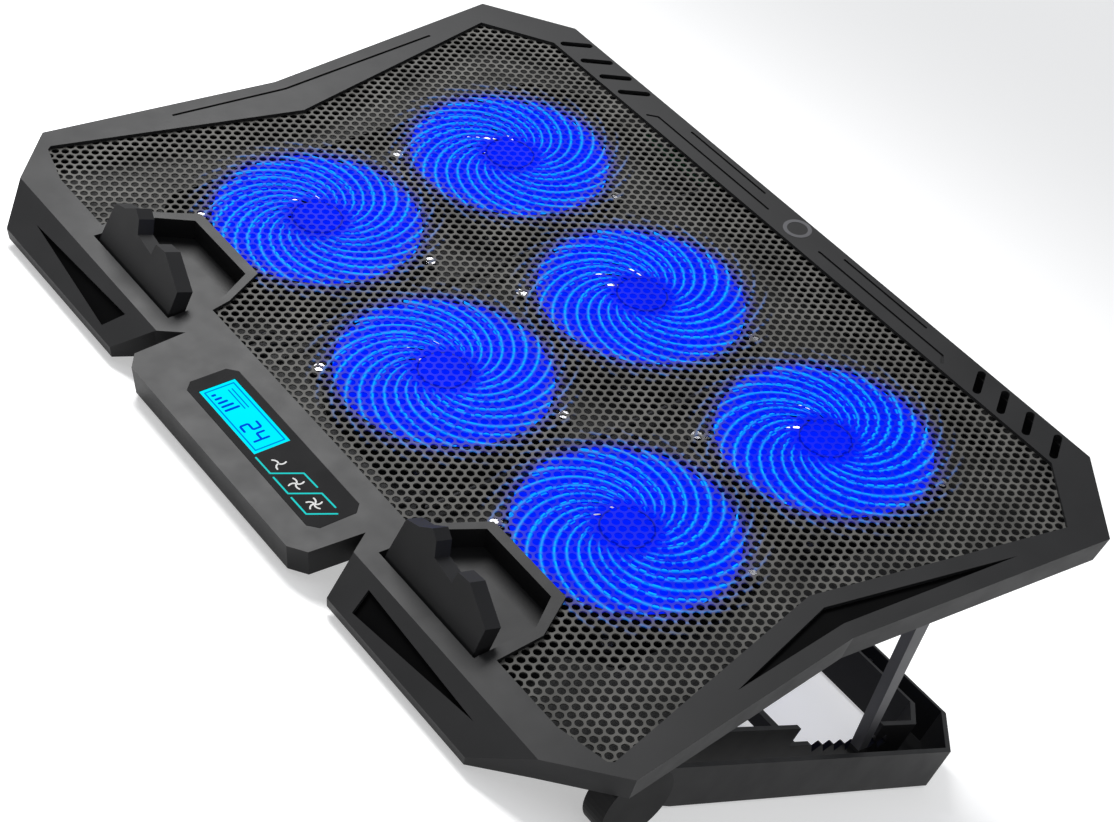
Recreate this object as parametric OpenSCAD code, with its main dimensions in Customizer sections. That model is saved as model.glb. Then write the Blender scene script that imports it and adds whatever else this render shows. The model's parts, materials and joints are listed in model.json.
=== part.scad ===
// Laptop cooling pad: a tilting six-fan deck on a folding U-shaped stand.
// The deck is drawn flat in its own frame (X right, Y to the back, Z out of the
// top face, z = 0 on the bezel's top) and placed by on_deck().

/* [Deck] */
// Overall width of the deck
pad_w = 410; // [340:1:500]
// Overall depth of the deck, from the tongue's front to the back edge
pad_d = 302.5; // [250:1:370]
// Gap between a stop's pocket and the bottom cover, which sets the side wall's height
under_pocket = 0.1; // [0.1:0.1:4]
// Thickness of the bezel's walls
wall_t = 2.2; // [1.6:0.1:3]
// Thickness of the bezel's top skin
skin_t = 1.6; // [1.2:0.1:2.4]
// How far the side wall draws in from its top to its bottom
draft_in = 2.6; // [0:0.1:4]
// Drop of the sloped front facets at their front edge
facet_drop = 8.7; // [4:0.1:9]
// Thickness of the perforated sheet
mesh_t = 0.6; // [0.4:0.1:1]

/* [Tongue and display] */
// Width of the display tongue
tongue_w = 122; // [116:1:130]
// Length of the display plate
panel_w = 89.8; // [80:0.1:94]
// Depth of the display plate
panel_d = 22.7; // [18:0.1:24]
// Thickness of the display plate
panel_t = 1.2; // [0.8:0.1:1.4]
// Length of the lit window
lcd_w = 39.4; // [30:0.1:42]
// Depth of the lit window
lcd_d = 15.9; // [12:0.1:17]

/* [Laptop stops] */
// Distance from the notch beside the tongue to a stop's pocket
stop_from_notch = 10.6; // [9:0.1:14]
// Width of a stop
stop_w = 54; // [46:0.5:55]
// Thickness of a stop
stop_t = 7.5; // [6:0.1:8]
// Height of a stop's tall prong above the deck
stop_h = 21.5; // [16:0.5:24]
// Backward lean of a raised stop
stop_lean = 20; // [10:1:25]
// Radius of a stop's pin
stop_pin_r = 1.5; // [1:0.1:1.8]

/* [Fans] */
// Depth of the tray that holds the fans, below the deck's rim
tray_drop = 8; // [6:0.5:12]
// Smallest gap between the rims of two fans in a row
fan_gap = 2.3; // [1:0.1:6]
// Radius of a fan's hub
hub_r = 11; // [9:0.5:13]
// Number of blades of a fan
blades = 11; // [7:1:13]
// Radius of a fan's shaft
shaft_r = 1.5; // [1:0.1:2]
// Radial gap between a blade's tip and the fan's rim
tip_gap = 1.3; // [1:0.1:3]

/* [Stand] */
// Tilt of the deck on its prop
tilt = 29.2; // [20:0.1:36]
// Gap under the front edge of the tongue when the deck is tilted
ground_gap = 0.76; // [0.3:0.01:4]
// Height of the stand's rails
rail_h = 20; // [17:0.5:22]
// Width of a rail
rail_w = 20; // [18:0.5:22]
// Thickness of the stand's walls
rail_t = 2.5; // [2:0.1:3]
// Radius of the hinge pins
pin_r = 3; // [2:0.1:4]
// Radius of the rod that joins the prop's legs
rod_r = 2.5; // [2:0.1:3]
// Width of a prop leg
leg_w = 5; // [4:0.1:6]
// Lean of the prop from the upright
leg_lean = 19; // [12:0.5:24]
// Distance between two notches for the prop
notch_pitch = 8.4; // [7:0.1:10]

/* [Clearances] */
// Radial clearance of a turning fit
run_gap = 0.05; // [0.02:0.01:0.1]
// Gap between the bottom cover and the bezel's wall
cover_gap = 0.3; // [0.2:0.05:0.6]
// Gap between the display plate and its seat
panel_gap = 0.1; // [0.05:0.05:0.3]

/* [Hidden] */
$fn = 48;
eps = 0.01;

// Deck outline
half_w = pad_w / 2;
tongue_out = 42.1;
back_y = pad_d - tongue_out;
facet_y = -40;
crease_y = -23;
crease_x = half_w - 26;
facet_x = half_w - 43;
notch_x = tongue_w / 2 + 1.7;
notch_y = -13.7;
waist_y = back_y - 151.7;
waist_in = 12.6;
side_back_y = back_y - 27.9;
back_corner_x = half_w - 36.6;
deck_mid_y = (back_y + facet_y) / 2;
mesh_lap = 3;

// Stop pockets
pocket_half = stop_w / 2 + 2.2;
pocket_front = -15.3;
pocket_back = 25.9;
pocket_depth = stop_t + 2;
pocket_wall = 2;
stop_x = notch_x + stop_from_notch + pocket_half;
stop_gap = 0.35;
stop_y = pocket_front + stop_t / 2 + stop_gap;
stop_z = -stop_t / 2 - 0.75;

// Heights in the deck
cover_t = 1.8;
wall_h = pocket_depth + skin_t + under_pocket + cover_t;
rim_z = -wall_h;
plate_z = rim_z + cover_t;
tray_z = rim_z - tray_drop;
floor_z = tray_z + cover_t;
draft_at_rim = (half_w - draft_in) / half_w;

// Rails of the stand
rail_out = half_w - 19.6;
rail_in = rail_out - rail_w;

// Tray and fans
tray_half = rail_in - 9.4;
tray_front = 13;
tray_back = back_y - 16.4;
tray_wall = 1.8;
fan_front_y = 74.9;
fan_back_y = back_y - 85;
fan_stagger = 9;
fan_r = min((fan_back_y - fan_front_y - fan_gap) / 2,
    (tray_half - tray_wall - 12) / 3,
    fan_front_y - pocket_back - pocket_wall - 0.4);
fan_x = tray_half - tray_wall - 2.8 - fan_r;
fan_rim_t = 1.5;
fan_top = -skin_t - mesh_t - 0.6;
fan_lug_r = fan_r + 2.6;
blade_r = fan_r - fan_rim_t - tip_gap;
hub_top = fan_top - 0.4;
hub_floor_t = 2;
arm_t = 1.8;
fans = [for (row = [0, 1]) for (col = [-1, 0, 1])
    [col * fan_x, (row == 0 ? fan_front_y : fan_back_y) - (col == 0 ? fan_stagger : 0)]];
wire_x = fan_r + 5.8;
wire_r = 1.6;
usb_wire_x = fan_r + 2.4;
usb_wire_r = 1;

// Stand, measured from the hinge
hinge_y = 10;
hinge_z = tray_z - 4;
hinge_h = (tongue_out + hinge_y) * sin(tilt) - (rim_z - hinge_z) * cos(tilt) + ground_gap;
pad_t = 1.2;
eye_r = 9;
stand_back = back_y - hinge_y + 7.6;
rail_corner = stand_back - 29;
cross_front = stand_back - rail_w;
cross_corner_x = rail_out - 23.7;
lug_in = rail_out + 1.6;
lug_w = 10.5;

// Prop, hinged under the deck
prop_y = back_y - 77.4;
prop_z = tray_z - 5;
prop_at = [(prop_y - hinge_y) * cos(tilt) - (prop_z - hinge_z) * sin(tilt),
    (prop_y - hinge_y) * sin(tilt) + (prop_z - hinge_z) * cos(tilt) + hinge_h];
tip_h = 7;
prop_l = (prop_at[1] - tip_h) / cos(leg_lean);
tip_y = prop_at[0] + prop_l * sin(leg_lean);
leg_in = rail_in + rail_t + 0.6;
teeth_from = tip_y - 3.4 * notch_pitch;
slot_from = prop_y - hinge_y - prop_l - 12;
slot_to = tip_y + 12;
tooth_h = 11;

// Front feet, just clear of the ground when the deck is tilted
foot_y = -30;
foot_r = 4.2;
foot_gap = 0.25;
foot_h = ((tongue_out + foot_y - foot_r) * sin(tilt) + ground_gap - foot_gap) / cos(tilt);

// The row's origin is on the ground, below the middle of the whole pad
front_most = -(tongue_out + hinge_y) * cos(tilt) + hinge_z * sin(tilt);
hinge_at = -(front_most + stand_back) / 2;

screw_spots = [[half_w - 42, -20], [half_w - 33.2, waist_y],
    [half_w - 23, back_y - 18.4], [30, back_y - 8.4]];
screw_r = 1.05;
screw_head_r = 2.8;
boss_r = 3.2;
slot_spots = [48.2, 63.7, 78, 91.8];

// Ring on the back edge
badge_y = back_y - 7.4;
badge_r = 6.4;
badge_ring = 1.8;
badge_sink = 0.6;

plastic = [0.15, 0.15, 0.16];
black = [0.03, 0.03, 0.035];
steel = [0.7, 0.7, 0.72];
board_green = [0.05, 0.3, 0.15];

// ---- placing and repeating ----

// Puts a piece drawn in the deck's frame where the tilted deck is
module on_deck()
    translate([0, hinge_at, hinge_h]) rotate([tilt, 0, 0]) translate([0, -hinge_y, -hinge_z])
        children();

// Puts a piece drawn from the hinge line where the stand is
module on_stand() translate([0, hinge_at, 0]) children();

module both_sides() {
    children();
    mirror([1, 0, 0]) children();
}

module at_fan(i) translate([fans[i][0], fans[i][1], 0]) children();

// A slab of a flat outline between two heights
module slab(from, to) translate([0, 0, from]) linear_extrude(to - from) children();

// A rod along X
module rod_x(from, to, r) translate([from, 0, 0]) rotate([0, 90, 0]) cylinder(h = to - from, r = r);

// A straight bar with round ends, flat
module bar_2d(a, b, w) {
    len = norm(b - a);
    translate(a) rotate(atan2(b[1] - a[1], b[0] - a[0])) {
        translate([0, -w / 2]) square([len, w]);
        circle(w / 2);
        translate([len, 0]) circle(w / 2);
    }
}

function mirrored(pts) = concat(pts, [for (i = [len(pts) - 1:-1:0]) [-pts[i][0], pts[i][1]]]);

// ---- outlines ----

module deck_2d() polygon(mirrored([
    [tongue_w / 2 - 6.5, -tongue_out], [tongue_w / 2, -tongue_out + 5], [notch_x, notch_y],
    [notch_x + 6.6, crease_y - 0.7], [notch_x + 14.6, facet_y], [facet_x, facet_y],
    [crease_x, crease_y], [half_w - 2, 0], [half_w - waist_in, waist_y],
    [half_w, side_back_y], [back_corner_x, back_y]]));

module opening_2d() polygon(mirrored([
    [stop_x - pocket_half - 3.8, 2.5], [stop_x - pocket_half - 1.9, 11.4],
    [stop_x - pocket_half + 7.6, pocket_back + 4.5], [stop_x + pocket_half - 7.2, pocket_back + 4.5],
    [stop_x + pocket_half + 3.6, 12.2], [stop_x + pocket_half + 4.7, -9],
    [half_w - 34.3, -9], [half_w - 13.5, -3.6],
    [half_w - 12, -1.5], [half_w - 36.5, waist_y], [half_w - 13, back_y - 38.1],
    [half_w - 41.8, back_y - 16.8]]));

module pocket_2d() translate([stop_x, 0]) polygon([
    [-pocket_half, pocket_front], [-pocket_half + 1.5, 11], [-pocket_half + 9.5, pocket_back],
    [pocket_half - 10, pocket_back], [pocket_half - 1, 12.5], [pocket_half, pocket_front]]);

module tray_2d() {
    cut = 20;
    polygon(mirrored([[tray_half - cut, tray_front], [tray_half, tray_front + cut],
        [tray_half, tray_back - cut], [tray_half - cut, tray_back]]));
}

module side_recess_2d() polygon([[half_w - 15.1, waist_y - 52.9], [half_w - 29.3, waist_y + 0.8],
    [half_w - 11.8, waist_y + 84.5], [half_w - 19.7, waist_y + 1.8]]);

module facet_recess_2d()
    polygon([[notch_x + 22.5, 4.8], [notch_x + 25.5, 14.5], [facet_x - 9.5, 7.7]]);

module badge_2d() difference() {
    circle(badge_r);
    circle(badge_r - badge_ring);
}

// ---- deck shells ----

module drafted(inset, from, to) {
    k = 1 - (1 - draft_at_rim) * (-to) / wall_h;
    low = 1 - (1 - draft_at_rim) * (-from) / wall_h;
    translate([0, deck_mid_y, to]) mirror([0, 0, 1]) linear_extrude(to - from, scale = low / k)
        scale([k, k]) translate([0, -deck_mid_y]) offset(delta = -inset) deck_2d();
}

// The space above the front facets, lowered by drop
module over_facets(drop) {
    reach = 12;
    slope = facet_drop / (crease_y - facet_y);
    both_sides() translate([notch_x + 1.5, 0, 0]) rotate([90, 0, 90]) linear_extrude(half_w)
        polygon([[crease_y, -drop], [crease_y - reach - 10, -drop - slope * (reach + 10)],
            [crease_y - reach - 10, 5], [crease_y, 5]]);
}

// Lays a flat drawing on a front facet: x as on the deck, y down the slope from the crease
module on_facet() translate([0, crease_y, 0])
    rotate([atan(facet_drop / (crease_y - facet_y)), 0, 0]) scale([1, -1, 1]) children();

module top_bezel() color(plastic) difference() {
    union() {
        difference() {
            drafted(0, rim_z, 0);
            difference() {
                drafted(wall_t, rim_z - eps, -skin_t);
                over_facets(skin_t);
            }
            slab(rim_z, 1) opening_2d();
        }
        both_sides() {
            slab(-pocket_depth - skin_t, -skin_t / 2) offset(delta = pocket_wall) pocket_2d();
            for (p = screw_spots) translate([p[0], p[1], plate_z])
                cylinder(h = -plate_z - skin_t / 2, r = boss_r);
        }
    }
    over_facets(0);
    both_sides() {
        slab(-pocket_depth, 1) pocket_2d();
        translate([0, stop_y, stop_z])
            rod_x(stop_x - pocket_half - 5, stop_x + pocket_half + 5, stop_pin_r);
        for (p = screw_spots) translate([p[0], p[1], plate_z - eps])
            cylinder(h = 5, r = screw_r + run_gap);
        on_facet() slab(-2 * skin_t, 1) facet_recess_2d();
        for (x = slot_spots) slab(-2 * skin_t, 1)
            bar_2d([half_w - x + 3.6, back_y - 12.8], [half_w - x - 3, back_y - 3.2], 3.6);
        slab(-skin_t / 2, 1) {
            bar_2d([97, back_y - 13.4], [93.5, back_y - 9.8], 1.2);
            bar_2d([93.5, back_y - 9.8], [17, back_y - 9.8], 1.2);
            bar_2d([77, back_y - 3.4], [26.5, back_y - 3.4], 1.2);
        }
    }
    slab(-2 * skin_t, 1) side_recess_2d();
    slab(-skin_t / 2, 1) {
        bar_2d([-half_w + 15.1, waist_y - 52.9], [-half_w + 19.2, waist_y + 1.3], 1.3);
        bar_2d([-half_w + 19.2, waist_y + 1.3], [-half_w + 11.8, waist_y + 84.5], 1.3);
    }
    translate([0, badge_y, 0]) slab(-badge_sink, 1) badge_2d();
    display_space();
    for (x = usb_at) translate([x - 6.9, back_y - 8, usb_z - 0.3]) cube([13.8, 12, 6.3]);
}

// The seat of the display plate and the hole for the display module
module display_space() {
    slab(-panel_t, 1) panel_2d(panel_gap);
    translate([lcd_x - lcd_w / 2 - 2, lcd_y - lcd_d / 2 - 2, -2 * skin_t]) cube([lcd_w + 4, lcd_d + 4, 4]);
}

module mesh_panel() color([0.3, 0.3, 0.31]) slab(-skin_t - mesh_t, -skin_t) difference() {
    offset(delta = mesh_lap) opening_2d();
    both_sides() {
        offset(delta = pocket_wall + 0.3) pocket_2d();
        for (p = screw_spots) translate(p) circle(boss_r + 0.7);
    }
}

module bottom_cover() color([0.11, 0.11, 0.12]) difference() {
    union() {
        difference() {
            intersection() {
                drafted(wall_t + cover_gap, rim_z, plate_z);
                slab(rim_z - 1, 0) offset(delta = -wall_t - cover_gap - draft_in) deck_2d();
            }
            slab(rim_z - 1, 0) offset(delta = -tray_wall) tray_2d();
        }
        slab(tray_z, rim_z + eps) difference() {
            tray_2d();
            offset(delta = -tray_wall) tray_2d();
        }
        slab(tray_z, floor_z) tray_2d();
    }
    for (i = [0:5]) at_fan(i) {
        vent_rings();
        fan_lugs() translate([0, 0, tray_z - 1]) cylinder(h = 4, r = 1);
    }
    both_sides() for (p = screw_spots) translate([p[0], p[1], rim_z - 1]) cylinder(h = 4, r = 1.6);
}

// Ring slots under a fan, crossed by the bars that hold the middle
module vent_rings() difference() {
    for (k = [0:2]) {
        outer = fan_r - 8 - k * 10;
        if (outer > 12) slab(tray_z - 1, floor_z + 1) difference() {
            circle(outer);
            circle(outer - 6);
        }
    }
    for (a = [0, 90]) rotate([0, 0, a])
        translate([-fan_r, -2.6, tray_z - 2]) cube([2 * fan_r, 5.2, cover_t + 4]);
}

module cover_screws() color(steel) both_sides() for (p = screw_spots) translate([p[0], p[1], 0]) {
    translate([0, 0, rim_z - 1.5]) cylinder(h = 1.5, r = screw_head_r);
    translate([0, 0, rim_z - eps]) cylinder(h = 6, r = screw_r);
}

// ---- display, boards and wires ----

panel_x = 7.9;
panel_y = -18.95;
lcd_x = -10.9;
lcd_y = -19.05;

module panel_2d(grow) offset(delta = grow) {
    c = 3.5;
    w = panel_w / 2;
    d = panel_d / 2;
    translate([panel_x, panel_y]) polygon(mirrored([[w - c, -d], [w, -d + c], [w, d - c], [w - c, d]]));
}

module display_plate() color(black) difference() {
    slab(-panel_t, 0.1) panel_2d(0);
    translate([lcd_x - lcd_w / 2, lcd_y - lcd_d / 2, -3]) cube([lcd_w, lcd_d, 5]);
}

module lcd_module() color([0.1, 0.85, 0.95]) {
    translate([lcd_x - lcd_w / 2 + 0.1, lcd_y - lcd_d / 2 + 0.1, -panel_t - 0.1])
        cube([lcd_w - 0.2, lcd_d - 0.2, panel_t]);
    translate([lcd_x - lcd_w / 2 - 1.6, lcd_y - lcd_d / 2 - 1.6, -panel_t - 3.2])
        cube([lcd_w + 3.2, lcd_d + 3.2, 3.1 + eps]);
}

module touch_board() color(board_green) {
    translate([15, panel_y - 9, -skin_t - 1.4]) cube([34, 18, 1.2]);
    for (x = [18.2, 30.4, 42.6]) translate([x - 3.5, panel_y - 4, -skin_t - 0.2 - eps]) cube([6, 6, 0.2]);
}

board_z = -9.4;

module control_board() {
    half = wire_x + 3.6;
    color(board_green) translate([-half, -36, board_z]) cube([2 * half, 32, 1.6]);
    color(black) {
        translate([-30, -30, board_z + 1.6 - eps]) cube([12, 12, 1.4]);
        translate([20, -30, board_z + 1.6 - eps]) cube([7, 9, 1.6]);
    }
    color("ivory") both_sides()
        translate([wire_x - 3.5, -10, board_z + 1.6 - eps]) cube([7, 4, 4]);
}

usb_at = [-85, -60];
usb_z = -9.2;

module usb_board() color(board_green)
    translate([-95, back_y - 15, usb_z - 1.6]) cube([46, 9, 1.6]);

module usb_sockets() for (x = usb_at) translate([x, back_y - 14, usb_z]) {
    color(steel) difference() {
        translate([-6.6, 0, 0]) cube([13.2, 12, 5.7]);
        translate([-6.2, 1, 0.4]) cube([12.4, 12, 4.9]);
    }
    color("white") translate([-5.6, 1 - eps, 2.9]) cube([11.2, 8, 1.6]);
}

// A wire's straight runs through a list of points, with round elbows
module wire(pts, r) {
    for (i = [1:len(pts) - 1]) {
        d = pts[i] - pts[i - 1];
        translate(pts[i - 1]) rotate([0, acos(d[2] / norm(d)), atan2(d[1], d[0])])
            cylinder(h = norm(d), r = r, $fn = 16);
        if (i < len(pts) - 1) translate(pts[i]) sphere(r, $fn = 16);
    }
}

module fan_wires() color("dimgray") {
    low = floor_z + 5;
    high = board_z + 3.6;
    both_sides() wire([[wire_x, fan_back_y, low], [wire_x, tray_front + 6, low],
        [wire_x, tray_front + 6, high], [wire_x, -6, high]], wire_r);
    for (f = fans) {
        side = f[0] == 0 ? 1 : sign(f[0]);
        from = f[0] == 0 ? fan_r : fan_x - fan_r;
        translate([side * from, f[1], low]) rotate([0, from < wire_x ? 90 : -90, side > 0 ? 0 : 180])
            cylinder(h = abs(wire_x - from), r = 0.8, $fn = 16);
    }
}

module usb_wires() color("black") {
    x = -usb_wire_x;
    wire([[x, back_y - 18, -8.2], [x, -4, -8.2]], usb_wire_r);
    translate([x - 3, back_y - 18, -9.9]) cube([7, 3, 3.2]);
}

// ---- trim ----

module side_inlay() color(black) slab(-skin_t - 1.4, -skin_t) offset(delta = 0.8) side_recess_2d();

// The inlay is wider than its recess all round, but its sharp tip is cut off short
module facet_inlays() color(black) both_sides() on_facet()
    slab(-skin_t * 1.12 - 1.3, -skin_t * 1.12) intersection() {
        offset(delta = 1) facet_recess_2d();
        square([facet_x - 7, 20]);
    }

module back_badge() color([0.5, 0.5, 0.52])
    translate([0, badge_y, 0]) slab(-badge_sink, 0.1) badge_2d();

module front_feet() color(black) both_sides()
    translate([tongue_w / 2 - 10, foot_y, rim_z - foot_h])
        cylinder(h = foot_h, r1 = foot_r, r2 = foot_r + 0.8);

// ---- laptop stops ----

// A stop's face, from its pin up: tall prong, gap, short prong and a slope to its low end
module stop_2d() {
    base = -stop_z / cos(stop_lean);
    w = stop_w;
    h = stop_h;
    polygon([[0, 0], [0, base], [1.5, base + 0.74 * h], [8, base + 0.82 * h], [14, base + h],
        [18, base + 0.88 * h], [20.5, base + 0.62 * h], [32, base + 0.54 * h],
        [32.5, base + 0.78 * h], [39, base + 0.81 * h], [w, base + 0.4 * h], [w, 0]]);
}

module stop(side) color([0.09, 0.09, 0.1])
    translate([side * stop_x, stop_y, stop_z]) rotate([-stop_lean, 0, 0]) difference() {
        union() {
            translate([-stop_w / 2, stop_t / 2, 0]) rotate([90, 0, 0])
                linear_extrude(stop_t) stop_2d();
            rod_x(-stop_w / 2, stop_w / 2, stop_t / 2);
        }
        rod_x(-stop_w, stop_w, stop_pin_r + run_gap);
    }

module stop_pins() color(steel) both_sides() translate([0, stop_y, stop_z])
    rod_x(stop_x - pocket_half - 1.5, stop_x + pocket_half + 1.5, stop_pin_r);

// ---- fans ----

module fan_lugs() for (a = [45:90:315]) rotate([0, 0, a]) translate([fan_lug_r, 0, 0]) children();

module fan_frame(i) color([0.12, 0.12, 0.13]) at_fan(i) difference() {
    union() {
        slab(floor_z, fan_top) difference() {
            circle(fan_r, $fn = 96);
            circle(fan_r - fan_rim_t, $fn = 96);
        }
        difference() {
            fan_lugs() translate([0, 0, floor_z + 0.3]) cylinder(h = 2.7, r = 3.6);
            translate([0, 0, floor_z - 1]) cylinder(h = 5, r = fan_r - fan_rim_t / 2, $fn = 96);
        }
        slab(floor_z + 0.2, floor_z + hub_floor_t) circle(hub_r + 2);
        for (a = [0, 90]) rotate([0, 0, a]) translate([-fan_r + fan_rim_t / 2, -2.5, floor_z + 0.2])
            cube([2 * fan_r - fan_rim_t, 5, arm_t - 0.2]);
    }
    translate([0, 0, floor_z - 1]) cylinder(h = 8, r = 3);
    fan_lugs() translate([0, 0, floor_z - 1]) cylinder(h = 6, r = 1.2);
}

module fan_bearing(i) color([0.75, 0.6, 0.3]) at_fan(i) difference() {
    translate([0, 0, floor_z]) cylinder(h = hub_top - floor_z - 2.6, r = 3);
    translate([0, 0, floor_z + 1]) cylinder(h = 30, r = shaft_r + run_gap);
}

module fan_shaft(i) color(steel) at_fan(i) translate([0, 0, floor_z + 1.3])
    cylinder(h = hub_top - 1.3 - floor_z - 1.3, r = shaft_r);

module fan_rotor(i) color([0.1, 0.3, 1]) at_fan(i) {
    blade_l = blade_r - hub_r + 0.8;
    blade_h = hub_top - 0.4 - (floor_z + arm_t + 2.6);
    difference() {
        slab(floor_z + hub_floor_t + 1.5, hub_top) circle(hub_r);
        slab(floor_z, hub_top - 1.3) circle(hub_r - 1.4);
    }
    intersection() {
        for (k = [0:blades - 1]) rotate([0, 0, k * 360 / blades])
            translate([hub_r - 0.8, 0, hub_top - 0.4 - blade_h / 2]) rotate([38, 0, 0])
                translate([0, -7, -0.6]) cube([blade_l, 14, 1.2]);
        slab(hub_top - 0.4 - blade_h, hub_top - 0.4) difference() {
            circle(blade_r);
            circle(hub_r - 0.7);
        }
    }
}

module fan_leds() color("deepskyblue") for (i = [0:5]) at_fan(i) for (a = [0:90:270]) rotate([0, 0, a])
    translate([fan_r - 9, -1.5, floor_z + arm_t]) cube([4, 3, 1.4]);

module fan_screws() color(steel) for (i = [0:5]) at_fan(i) fan_lugs() {
    translate([0, 0, floor_z + 3]) cylinder(h = 1.4, r = 2.2);
    translate([0, 0, floor_z - 1.2]) cylinder(h = 4.3, r = 1);
}

// ---- hinge, stand and prop ----

module hinge_brackets() color([0.1, 0.1, 0.11]) difference() {
    both_sides() translate([0, hinge_y, hinge_z]) rod_x(lug_in, lug_in + lug_w, hinge_h);
    slab(rim_z, 10) square(3 * pad_w, center = true);
    both_sides() translate([0, hinge_y, hinge_z]) rod_x(lug_in - 1, lug_in + lug_w - 2, pin_r);
}

module hinge_pins() color(steel) both_sides() translate([0, hinge_y, hinge_z])
    rod_x(rail_in + 1, lug_in + lug_w - 2, pin_r);

module stand_outer_2d() polygon(mirrored([[rail_out, -eye_r], [rail_out, rail_corner],
    [cross_corner_x, stand_back]]));

module stand_inner_2d() polygon(mirrored([[rail_in, -eye_r - 1], [rail_in, rail_corner - 6],
    [cross_corner_x - 8, cross_front]]));

module stand_ring_2d() difference() {
    stand_outer_2d();
    stand_inner_2d();
}

// The stand seen from its side: an eye at the hinge and a rail that comes down to the ground
module rail_side_2d() {
    translate([0, hinge_h]) circle(eye_r);
    polygon([[0, hinge_h - eye_r], [44, pad_t], [stand_back, pad_t], [stand_back, rail_h], [0, rail_h]]);
}

module stand_frame() color(plastic) on_stand() difference() {
    intersection() {
        union() {
            slab(0, hinge_h + eye_r) difference() {
                stand_ring_2d();
                offset(delta = -rail_t) stand_ring_2d();
            }
            slab(0, hinge_h + eye_r) intersection() {
                stand_ring_2d();
                translate([-half_w, -eye_r]) square([pad_w, eye_r + 14]);
            }
            slab(0, pad_t + 2) difference() {
                stand_ring_2d();
                translate([-half_w, slot_from]) square([pad_w, slot_to - slot_from]);
            }
            both_sides() for (y = [30:26:rail_corner - 10]) translate([rail_out - rail_t - 4, y, 0])
                cube([4 + eps, 2, rail_h - 4]);
            for (x = [-120:40:120]) translate([x - 1, cross_front + rail_t / 2, 0])
                cube([2, rail_w - rail_t, rail_h - 5]);
        }
        rotate([90, 0, 90]) translate([0, 0, -half_w]) linear_extrude(pad_w) rail_side_2d();
    }
    translate([0, 0, hinge_h]) rod_x(-half_w, half_w, pin_r + run_gap);
    both_sides() lowered_wall();
}

// The inner wall is cut down beside the prop and toothed where the prop stands
module lowered_wall() translate([rail_in - 1, 0, 0]) {
    translate([0, teeth_from - 20, tooth_h]) cube([rail_t + 1.4, slot_to - teeth_from + 22, rail_h]);
    for (k = [0:6]) translate([0, teeth_from + k * notch_pitch, tooth_h]) rotate([45, 0, 0])
        translate([0, -2.6, -2.6]) cube([rail_t + 1.4, 5.2, 5.2]);
}

module stand_brace() color(plastic) on_stand()
    translate([-rail_in, teeth_from - 15, pad_t + 2.6]) cube([2 * rail_in, 5, 5.8]);

module stand_pads() color(black) on_stand() both_sides() for (y = [48, slot_to + 3])
    translate([rail_out - rail_w / 2 - 5, y, 0]) cube([10, 9, pad_t]);

module at_prop() on_deck() translate([0, prop_y, prop_z]) rotate([-tilt + leg_lean, 0, 0]) children();

module prop_legs() color([0.25, 0.25, 0.26]) at_prop() both_sides() difference() {
    hull() {
        rod_x(leg_in, leg_in + leg_w, rod_r + 2);
        translate([0, 0, -prop_l + 6]) rod_x(leg_in, leg_in + leg_w, 2.6);
    }
    rod_x(leg_in - 1, leg_in + leg_w + 1, rod_r);
    translate([leg_in - 1, -8, -prop_l - 8]) cube([leg_w + 2, 16, 14]);
}

module prop_tips() color(black) at_prop() both_sides() translate([0, 0, -prop_l + 3]) {
    rod_x(leg_in, leg_in + leg_w, 3);
    translate([leg_in, -2.6, 0]) cube([leg_w, 5.2, 3]);
}

module prop_rod() color(steel) at_prop() rod_x(-leg_in - leg_w - 6.5, leg_in + leg_w + 6.5, rod_r);

module prop_brackets() color([0.1, 0.1, 0.11]) both_sides() difference() {
    for (x = [rail_in - 7.5, leg_in + leg_w + 1]) translate([x, 0, 0]) {
        translate([0, prop_y, prop_z]) rod_x(0, 5.5, rod_r + 2.2);
        translate([0, prop_y - rod_r - 2.2, prop_z]) cube([5.5, 2 * rod_r + 4.4, rim_z - prop_z]);
    }
    translate([0, prop_y, prop_z]) rod_x(rail_in - 9, rail_out + 9, rod_r + run_gap);
}

// ---- nodes ----

on_deck() top_bezel();
on_deck() mesh_panel();
on_deck() bottom_cover();
on_deck() cover_screws();
on_deck() display_plate();
on_deck() lcd_module();
on_deck() touch_board();
on_deck() control_board();
on_deck() usb_board();
on_deck() usb_sockets();
on_deck() fan_wires();
on_deck() usb_wires();
on_deck() side_inlay();
on_deck() facet_inlays();
on_deck() back_badge();
on_deck() stop(-1);  // stop_left
on_deck() stop(1);  // stop_right
on_deck() stop_pins();
on_deck() hinge_brackets();
on_deck() hinge_pins();
on_deck() front_feet();
on_deck() prop_brackets();
on_deck() fan_screws();
on_deck() fan_leds();
for (i = [0:5]) on_deck() {
    fan_frame(i);
    fan_bearing(i);
    fan_rotor(i);
    fan_shaft(i);
}
stand_frame();
stand_brace();
stand_pads();
prop_legs();
prop_rod();
prop_tips();
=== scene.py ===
# A laptop cooling pad: a perforated deck with six lit fans, a display tongue and two laptop
# stops, held up by a prop on a folding stand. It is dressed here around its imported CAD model.
import json
import math

import bmesh
import bpy
import numpy as np
from mathutils import Matrix, Vector


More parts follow.
